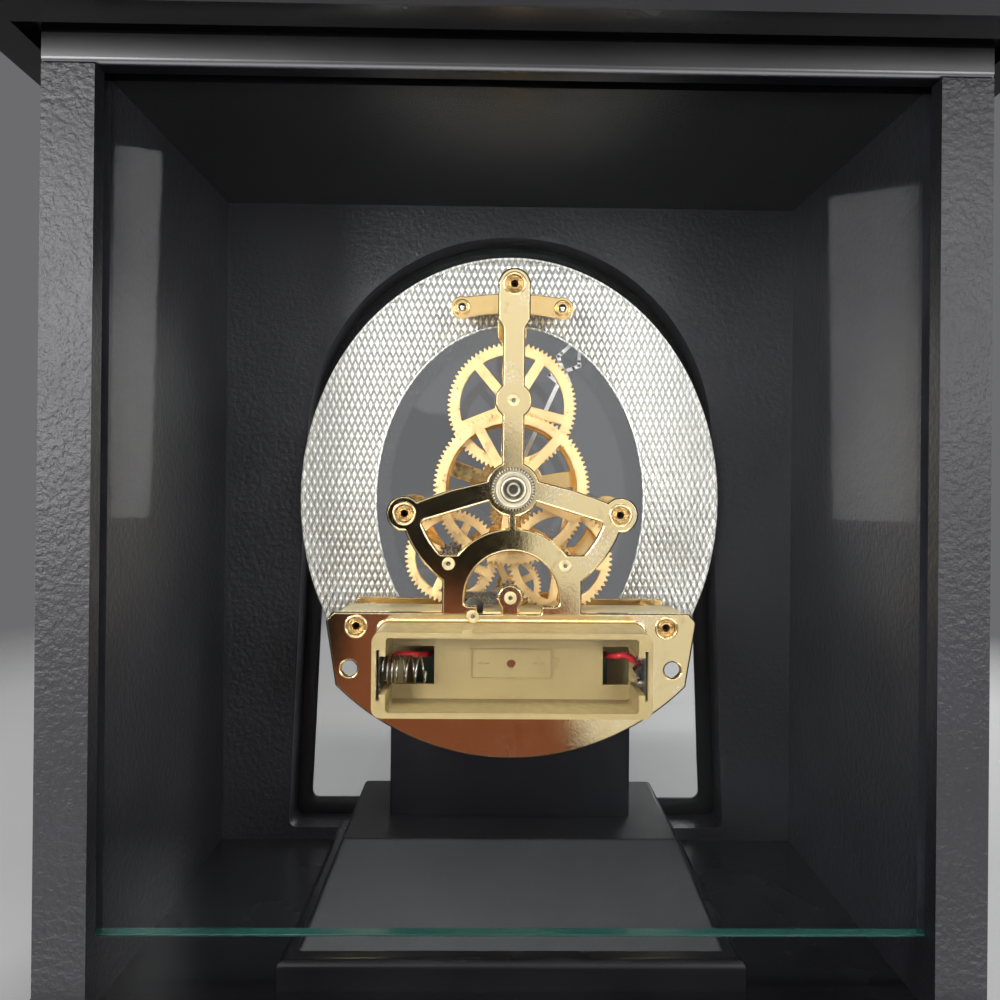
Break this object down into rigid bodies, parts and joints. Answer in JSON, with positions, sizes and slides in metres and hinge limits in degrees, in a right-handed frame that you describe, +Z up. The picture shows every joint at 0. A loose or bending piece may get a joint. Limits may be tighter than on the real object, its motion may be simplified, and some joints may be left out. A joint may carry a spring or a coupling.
{
  "type": "mantel clock with skeleton movement",
  "caption": "Black wooden table clock with an arched window, a silver oval dial ring and a gold skeleton quartz movement on a pedestal.",
  "frame": {"origin": "middle of the clock's outline on the surface it stands on", "axes": "+Z up, the dial faces -Y and the rear glass faces +Y, +X to the right seen from the dial side"},
  "size_m": [0.204, 0.126, 0.2347],
  "materials": {
    "black_wood": "satin black lacquer over wood",
    "black_gloss": "gloss black lacquer",
    "foot_rubber": "matte",
    "clear_glass": "polished, green at the edges",
    "black_sealant": "uneven matte",
    "polished_gold": "polished gold plating",
    "wheel_gold": "bright stamped gold",
    "nickel": "turned and polished",
    "silver_dial": "stamped lozenge pattern",
    "steel": "plain",
    "dark_spring": "dark plated",
    "beige_plastic": "moulded, champagne beige",
    "red_insulation": "smooth",
    "board_green": "solder mask",
    "copper": "wound copper wire",
    "magnet": "sintered",
    "white_metal": "satin white",
    "black_marker": "satin black"
  },
  "bodies": {
    "case": {"feet": "foot_rubber", "base_moulding": "black_wood", "floor_board": "black_wood", "side_left": "black_wood", "side_right": "black_wood", "front_panel": "black_wood", "front_glass": "clear_glass", "glass_sealant": "black_sealant", "ceiling_board": "black_gloss", "cornice": "black_wood", "top_cap": "black_wood", "pedestal_plinth": "black_wood", "pedestal_pyramid": "black_wood", "pedestal_block": "black_wood", "pedestal_screws": "steel", "back_plate": "polished_gold", "front_plate": "polished_gold", "plate_pillars": "polished_gold", "plate_screws": "polished_gold", "front_screws": "polished_gold", "rear_bushes": "polished_gold", "front_bushes": "polished_gold", "gear_housing": "polished_gold", "battery_box": "beige_plastic", "spring_contact_plate": "dark_spring", "contact_spring": "dark_spring", "flat_contact": "dark_spring", "contact_rivets": "nickel", "battery_wires": "red_insulation", "circuit_board": "board_green", "quartz_crystal": "nickel", "stator": "steel", "drive_coil": "copper", "motion_stud": "steel", "dial_ring": "silver_dial", "hour_markers": "black_marker", "dial_studs": "nickel"},
    "rear_pane": {"rear_glass": "clear_glass"},
    "minute_train": {"centre_shaft": "steel", "centre_wheel": "wheel_gold", "centre_pinion": "wheel_gold", "cannon_pinion": "wheel_gold", "minute_hand": "white_metal", "hand_nut": "polished_gold", "setting_knob": "nickel"},
    "upper_train": {"upper_arbor": "wheel_gold", "upper_wheel": "wheel_gold"},
    "right_train": {"right_arbor": "wheel_gold", "right_wheel": "wheel_gold"},
    "left_train": {"left_arbor": "wheel_gold", "left_wheel": "wheel_gold"},
    "small_train": {"small_arbor": "wheel_gold", "fourth_wheel": "wheel_gold"},
    "rotor": {"rotor_arbor": "steel", "rotor_magnet": "magnet"},
    "motion_train": {"motion_wheel": "wheel_gold"},
    "hour_train": {"hour_wheel": "wheel_gold", "hour_hand": "white_metal"}
  },
  "joints": [
    {"name": "rear_glass_lift", "type": "slide", "parent": "case", "child": "rear_pane", "axis": [0, 0, 1], "range_m": [0, 0.008]},
    {"name": "minute_turn", "type": "hinge", "parent": "case", "child": "minute_train", "pos_m": [0, 0, 0.1255], "axis": [0, 1, 0], "continuous": true},
    {"name": "upper_turn", "type": "hinge", "parent": "case", "child": "upper_train", "pos_m": [0, 0, 0.14661], "axis": [0, 1, 0], "continuous": true},
    {"name": "right_turn", "type": "hinge", "parent": "case", "child": "right_train", "pos_m": [-0.0127, 0, 0.10736], "axis": [0, 1, 0], "continuous": true},
    {"name": "left_turn", "type": "hinge", "parent": "case", "child": "left_train", "pos_m": [0.01512, 0, 0.10768], "axis": [0, 1, 0], "continuous": true},
    {"name": "small_turn", "type": "hinge", "parent": "case", "child": "small_train", "pos_m": [0.00031, 0, 0.09964], "axis": [0, 1, 0], "continuous": true},
    {"name": "rotor_turn", "type": "hinge", "parent": "case", "child": "rotor", "pos_m": [0.00927, 0, 0.09519], "axis": [0, 1, 0], "continuous": true},
    {"name": "motion_turn", "type": "hinge", "parent": "case", "child": "motion_train", "pos_m": [0, 0, 0.1183], "axis": [0, 1, 0], "continuous": true},
    {"name": "hour_turn", "type": "hinge", "parent": "case", "child": "hour_train", "pos_m": [0, 0, 0.1255], "axis": [0, 1, 0], "continuous": true}
  ],
  "couplings": [
    {"joint": "upper_turn", "follows": "minute_turn", "ratio": -0.2875},
    {"joint": "right_turn", "follows": "minute_turn", "ratio": -8},
    {"joint": "left_turn", "follows": "minute_turn", "ratio": -5.3333},
    {"joint": "small_turn", "follows": "minute_turn", "ratio": 60},
    {"joint": "rotor_turn", "follows": "minute_turn", "ratio": -288},
    {"joint": "motion_turn", "follows": "minute_turn", "ratio": -0.33333},
    {"joint": "hour_turn", "follows": "minute_turn", "ratio": 0.083333}
  ]
}
